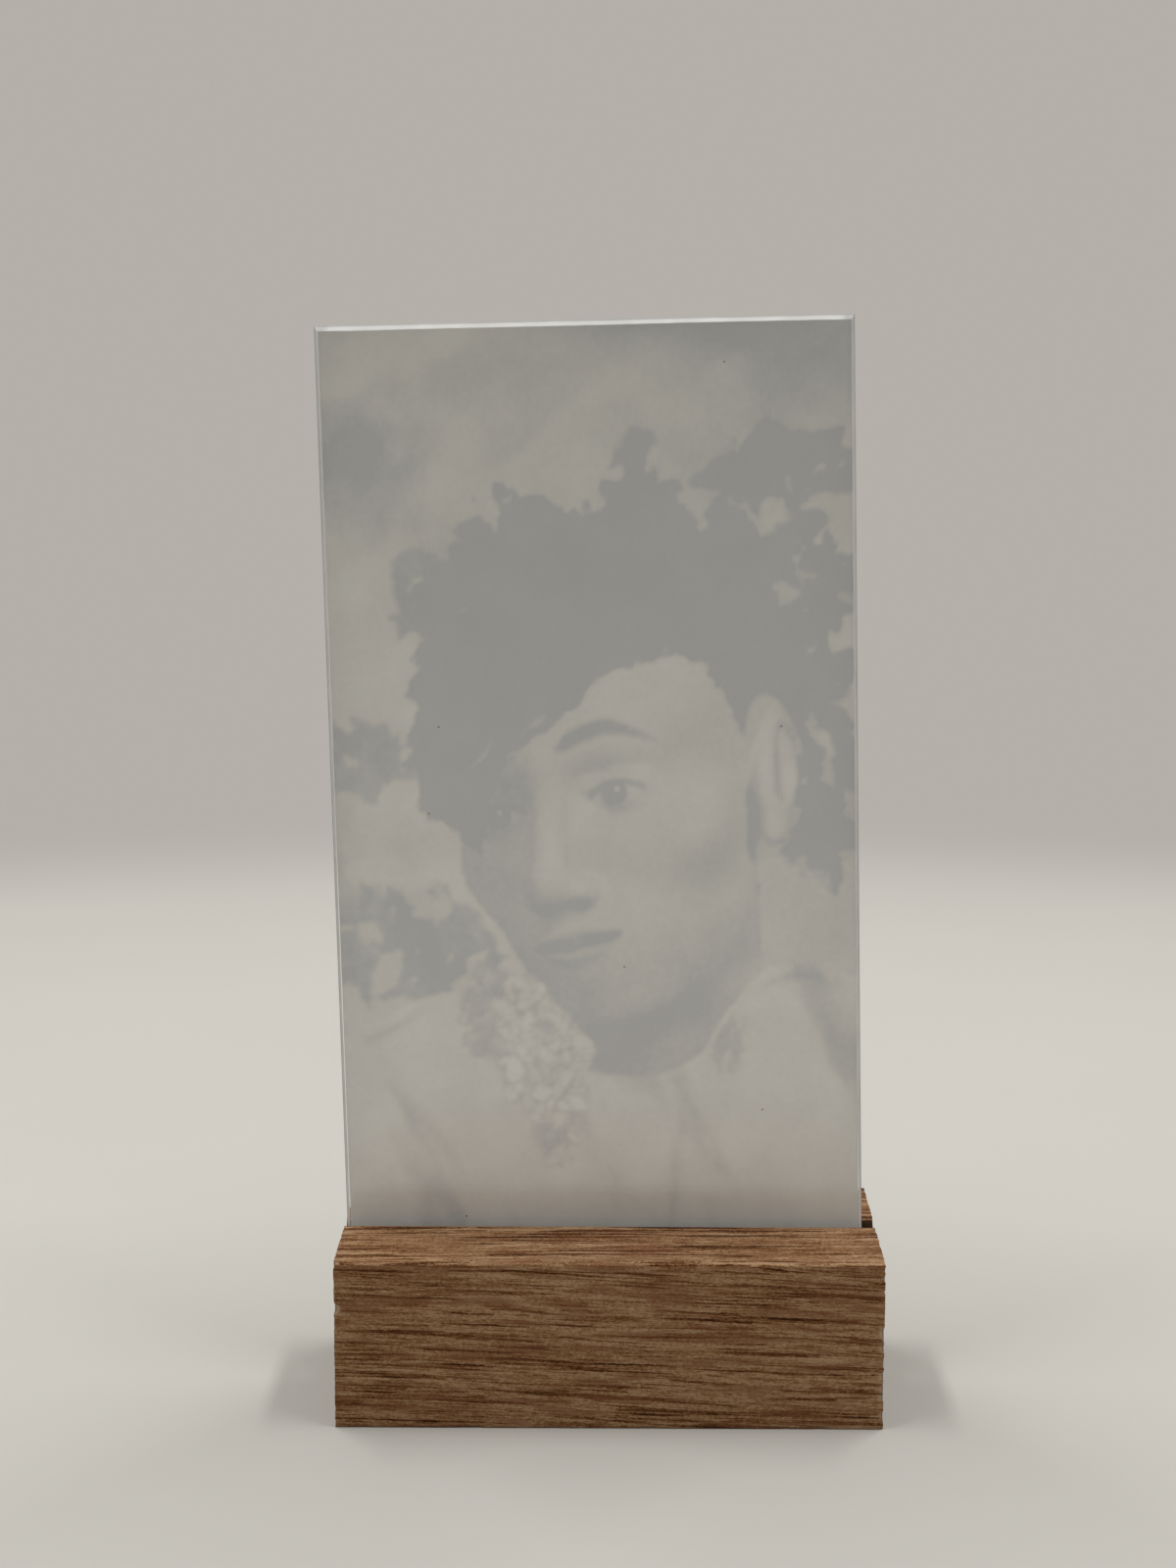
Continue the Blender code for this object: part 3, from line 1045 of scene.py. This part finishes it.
def shirt(u, v):
    """How far inside the shirt a point lies, and the shirt's tone: pale cloth with soft folds."""
    places = (-50.0, -40.0, -28.0, -14.0, -4.0, 4.0, 14.0, 21.0, 25.0, 28.0, 38.0, 50.0)
    heights = (53.0, 60.0, 64.0, 56.0, 48.0, 45.0, 45.5, 50.0, 58.0, 66.0, 68.0, 64.0)
    shoulder = np.mean([np.interp(u + shift, places, heights) for shift in range(-5, 6, 2)], axis=0)
    inside = shoulder + 3.0 * ripple(u, v, 8.0, 71) - v
    fold = clouds(u + 0.4 * v, 0.35 * v, 11.0, 75, 4)
    tone = 0.74 - 0.34 * smooth(fold, 0.54, 0.80) + 0.16 * ripple(u, v, 9.0, 78)
    hem = ridge(inside - 3.0, 1.2) * smooth(clouds(u, v, 10.0, 79, 2), 0.35, 0.65)
    edge = u - 13.0 - 0.06 * v + 3.0 * ripple(u, v, 7.0, 73, 3)
    placket = ridge(edge, 1.2) * smooth(-v, -44.0, -38.0)
    return inside, tone - 0.24 * hem - 0.20 * placket


# Bunches of petals on the trim: their middle and reach in mm, how many, their tone and their seed.
BUNCHES = (
    ((-21.5, 58.0), (4.5, 9.0), 46, 0.34, 81),
    ((-15.0, 59.0), (5.0, 7.0), 52, 0.60, 82),
    ((-10.5, 47.0), (8.0, 11.5), 120, 0.66, 83),
    ((-8.5, 33.5), (4.0, 4.5), 18, 0.62, 84),
    ((25.0, 51.0), (2.5, 5.0), 14, 0.42, 87),
)


def ruffle(u, v, tone):
    """Lays a ruffled trim over the picture: petals with dark folds between them."""
    rag_u = u + 1.6 * ripple(u, v, 2.2, 86, 3)
    rag_v = v + 1.6 * ripple(u, v, 2.2, 89, 3)
    for centre, radii, count, bright, seed in BUNCHES:
        shadow = blob(rag_u, rag_v, centre, radii) + 7.0 * ripple(u, v, 5.0, seed + 20)
        tone = laid_over(tone, 0.7 * smooth(shadow, -1.0, 1.5), 0.30)
        for inside, luck in leaves(rag_u, rag_v, centre, radii, count, seed, PETAL_LENGTHS, PETAL_WIDTHS):
            shade = laid_over(0.34, smooth(inside, 0.15, 0.55), bright + 0.28 * luck)
            tone = laid_over(tone, smooth(inside, -0.15, 0.25), shade)
    return tone


def picture_tone(u, v):
    """How light the picture is, from 0 to 1, at places in mm from the middle of the plate's foot."""
    tone = scenery(u, v)
    aside, above = u - HEAD_PLACE[0], v - HEAD_PLACE[1]
    x = (aside * cos(HEAD_TILT) + above * sin(HEAD_TILT)) / HEAD_HALF
    y = (above * cos(HEAD_TILT) - aside * sin(HEAD_TILT)) / HEAD_HALF
    window = (np.abs(x) < 1.1) & (y > -1.5) & (y < 1.2)
    p, met = seen(x[window], y[window])
    values = tone[window]
    values[met] = painted(p[met], lit(p[met], normals(p[met])))
    tone[window] = values
    inside, cloth = shirt(u, v)
    tone = laid_over(tone, smooth(inside, -0.4, 0.6), cloth)
    tone = ruffle(u, v, tone)
    tone = laid_over(tone, smooth(hair_reach(x, y), -0.010, 0.014), hair_tone(x, y))
    for axis in (0, 1):
        tone = 0.6 * tone + 0.2 * (np.roll(tone, 1, axis) + np.roll(tone, -1, axis))
    return tone


def picture_sheet():
    """The printed film: a fine net whose points carry the picture's tone."""
    wide = PLATE_WIDTH / 2 - PICTURE_INSET
    low, high = PICTURE_INSET, PLATE_HEIGHT - PICTURE_INSET
    across = np.linspace(-wide, wide, round(2 * wide / PICTURE_STEP) + 1)
    upward = np.linspace(low, high, round((high - low) / PICTURE_STEP) + 1)
    u, v = np.meshgrid(across, upward)
    tones = picture_tone(u / MM, v / MM)
    shape = bmesh.new()
    tone = shape.verts.layers.float.new("tone")
    rows = []
    for z, line in zip(upward, tones):
        rows.append([marked(shape, (x, PHOTO_LOW.y, z), tone, light) for x, light in zip(across, line)])
    for lower, upper in zip(rows, rows[1:]):
        for column in range(len(across) - 1):
            shape.faces.new((lower[column], lower[column + 1], upper[column + 1], upper[column]))
    rim = rows[0] + [row[-1] for row in rows[1:-1]] + rows[-1][::-1] + [row[0] for row in rows[-2:0:-1]]
    behind = [shape.verts.new((vert.co.x, PHOTO_HIGH.y, vert.co.z)) for vert in rim]
    joined(shape, rim, behind)
    shape.faces.new(behind)
    piece("picture_sheet", shape, [picture_print()], "plate", "photo_film")


# Cover

COVER_CORNER = 1.5 * MM
COVER_CORNER_STEPS = 6


def cover_sheet():
    """The opaque film behind the picture, cut with small round corners."""
    wide = PLATE_WIDTH / 2 - COVER_INSET - COVER_CORNER
    low, high = COVER_INSET + COVER_CORNER, PLATE_HEIGHT - COVER_INSET - COVER_CORNER
    corners = ((180.0, -wide, high), (90.0, wide, high), (0.0, wide, low), (-90.0, -wide, low))
    points = []
    for first, u, v in corners:
        points += quarter((u, v), COVER_CORNER, first, COVER_CORNER_STEPS)
    shape = bmesh.new()
    front = [shape.verts.new((u, COVER_LOW.y, v)) for u, v in points]
    back = [shape.verts.new((u, COVER_HIGH.y, v)) for u, v in points]
    shape.faces.new(front)
    shape.faces.new(back)
    joined(shape, front, back)
    piece("cover_sheet", shape, [back_cover()], "plate", "back_film")


# Studio

SWEEP_HALF_WIDTH = 3.0
SWEEP_FRONT = -4.0
SWEEP_BEND = 0.62
SWEEP_RADIUS = 0.10
SWEEP_TOP = 2.5
SWEEP_STEPS = 24
FRONT_SHADE = (-0.3, 0.0)
POOL_OF_SHADE = (0.04, 0.20)
FLOOR_TO_WALL = (0.36, 0.64)
BACKDROP_FADE = (0.49, 0.67)


def seen_ray(shader):
    """1 where the camera looks straight at the backdrop, or through glass or a reflection."""
    ray = shader.node("ShaderNodeLightPath").outputs
    through = shader.maths("MAXIMUM", ray["Is Glossy Ray"], ray["Is Transmission Ray"])
    return shader.maths("MAXIMUM", ray["Is Camera Ray"], through)


def sweep_paper():
    """Pale paper in a soft pool of shade round the object, which fades into an even backdrop far off."""
    paper = Finish("sweep_paper")
    place = paper.node("ShaderNodeTexCoord").outputs["Object"]
    depth = paper.axes(place)["Y"]
    far = paper.node("ShaderNodeVectorMath", {0: place}, operation="LENGTH").outputs["Value"]
    cloud = paper.noise(place, 0.25, detail=3.0)
    light = paper.step(cloud, 0.3, 0.7, 0.985, 1.015)
    # Painted shade: the floor is darker towards the front, and in a soft pool round the object.
    light = paper.maths("MULTIPLY", light, paper.step(depth, *FRONT_SHADE, 0.93, 1.0))
    light = paper.maths("MULTIPLY", light, paper.step(far, *POOL_OF_SHADE, 0.945, 1.0))
    colour = paper.mix(paper.step(depth, *FLOOR_TO_WALL), FLOOR_COLOUR, WALL_COLOUR)
    paper.set("Base Color", paper.dimmed(colour, light))
    paper.set("Roughness", 0.8)
    paper.set("Specular IOR Level", 0.2)
    glow = paper.node("ShaderNodeEmission", {"Color": BACKDROP_COLOUR})
    fade = paper.maths("MULTIPLY", paper.step(far, *BACKDROP_FADE), seen_ray(paper))
    paper.blend(fade, glow.outputs["Emission"])
    return paper.material


def sweep():
    """One sheet of paper that lies under the object and bends up behind it."""
    bend = quarter((SWEEP_BEND, SWEEP_RADIUS), SWEEP_RADIUS, 0.0, SWEEP_STEPS)
    profile = [(SWEEP_FRONT, 0.0), *reversed(bend), (SWEEP_BEND + SWEEP_RADIUS, SWEEP_TOP)]
    shape = bmesh.new()
    left = [shape.verts.new((-SWEEP_HALF_WIDTH, y, z)) for y, z in profile]
    right = [shape.verts.new((SWEEP_HALF_WIDTH, y, z)) for y, z in profile]
    for index in range(len(profile) - 1):
        shape.faces.new((left[index], right[index], right[index + 1], left[index + 1]))
    added("sweep", meshed("sweep", shape, [sweep_paper()]))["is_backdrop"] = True


DOME_LIGHT = 0.36
STRIP_POWER = 5.6
STRIP_SIZE = (0.10, 1.0)
STRIP_ASIDE = 0.38
STRIP_HEIGHT = 1.0
STRIP_BACK = 0.10


def studio_light():
    """An even dome of light, and two long soft strips overhead that run from front to back."""
    world = bpy.data.worlds.new("studio")
    bpy.context.scene.world = world
    dome = Shader(world, "Background", "World Output")
    dome.set("Color", DOME_COLOUR)
    dome.set("Strength", DOME_LIGHT)
    backdrop = dome.node("ShaderNodeBackground", {"Color": BACKDROP_COLOUR})
    dome.blend(seen_ray(dome), backdrop.outputs["Background"])
    for name, aside in (("strip_left", -STRIP_ASIDE), ("strip_right", STRIP_ASIDE)):
        lamp = bpy.data.lights.new(name, "AREA")
        lamp.shape = "RECTANGLE"
        lamp.size, lamp.size_y = STRIP_SIZE
        lamp.energy = STRIP_POWER
        added(name, lamp).location = (aside, STRIP_BACK, STRIP_HEIGHT)


def camera():
    lens = bpy.data.cameras.new("camera")
    lens.lens = CAMERA_LENS
    lens.clip_start = 0.01
    made = added("camera", lens)
    made.location = CAMERA_PLACE
    made.rotation_euler = (pi / 2 - CAMERA_DOWN, 0.0, CAMERA_LEFT)
    bpy.context.scene.camera = made


def write_sizes():
    boxes = {"cad": CAD_BOUNDS, "visual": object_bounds()}
    {name: [list(low), list(high)] for name, (low, high) in boxes.items()}


bpy.context.scene.view_settings.view_transform = "Standard"
oak_block()
glass_pane()
picture_sheet()
cover_sheet()
sweep()
studio_light()
camera()
write_sizes()
